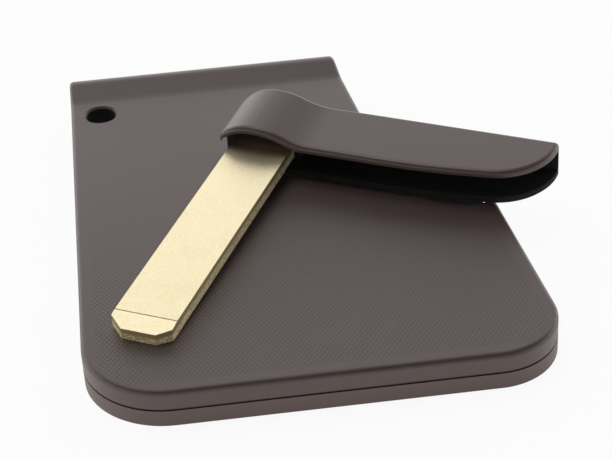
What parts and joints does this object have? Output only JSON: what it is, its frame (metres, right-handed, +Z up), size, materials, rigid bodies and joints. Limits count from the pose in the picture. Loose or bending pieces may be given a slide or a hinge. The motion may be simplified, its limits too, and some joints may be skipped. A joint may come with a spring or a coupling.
{
  "type": "card-shaped smart key",
  "caption": "Slim card-shaped car smart key with a raised grip and a key ring hole, buttons on its underside, and its brass emergency key drawn out and laid across the back.",
  "frame": {"origin": "on the table, under the middle of the whole object's outline", "axes": "+Z up out of the card's back, +Y along the card's left edge from the wide near end to the gripped far end, +X to the right along the near end"},
  "size_m": [0.0618, 0.0724, 0.0121],
  "materials": {
    "case_plastic": "fine textured moulded plastic, dull",
    "button_plastic": "moulded plastic, dull",
    "plunger_plastic": "moulded plastic, plain",
    "switch_body": "moulded plastic, plain",
    "board_laminate": "green solder mask",
    "cell_steel": "nickel plated steel, satin",
    "contact_steel": "spring steel strip, satin",
    "chip_resin": "moulded resin, dull",
    "crystal_can": "plated can, satin",
    "capacitor_ceramic": "fired ceramic, dull",
    "coil_body": "ferrite and varnished wire, dull",
    "sleeve_steel": "plated sheet steel, satin",
    "spring_steel": "hardened strip, satin",
    "blade_brass": "rolled brass blank, bright with fine mottling",
    "head_plastic": "fine textured moulded plastic, dull"
  },
  "bodies": {
    "card": {"back_cover": "case_plastic", "front_cover": "case_plastic", "lock_switch": "switch_body", "unlock_switch": "switch_body", "tailgate_switch": "switch_body", "circuit_board": "board_laminate", "coin_cell": "cell_steel", "battery_contact_positive": "contact_steel", "battery_contact_negative": "contact_steel", "control_chip": "chip_resin", "radio_chip": "chip_resin", "crystal": "crystal_can", "capacitors": "capacitor_ceramic", "antenna_coil_x": "coil_body", "antenna_coil_y": "coil_body", "antenna_coil_z": "coil_body", "blade_sleeve": "sleeve_steel", "blade_spring": "spring_steel", "key_blade": "blade_brass", "key_head": "head_plastic"},
    "lock_press": {"lock_button": "button_plastic", "lock_plunger": "plunger_plastic"},
    "unlock_press": {"unlock_button": "button_plastic", "unlock_plunger": "plunger_plastic"},
    "tailgate_press": {"tailgate_button": "button_plastic", "tailgate_plunger": "plunger_plastic"}
  },
  "joints": [
    {"name": "lock_button_slide", "type": "slide", "parent": "card", "child": "lock_press", "axis": [0, 0, 1], "range_m": [0, 0.0003], "stiffness_N_per_m": 1000},
    {"name": "unlock_button_slide", "type": "slide", "parent": "card", "child": "unlock_press", "axis": [0, 0, 1], "range_m": [0, 0.0003], "stiffness_N_per_m": 1000},
    {"name": "tailgate_button_slide", "type": "slide", "parent": "card", "child": "tailgate_press", "axis": [0, 0, 1], "range_m": [0, 0.0003], "stiffness_N_per_m": 1000}
  ]
}
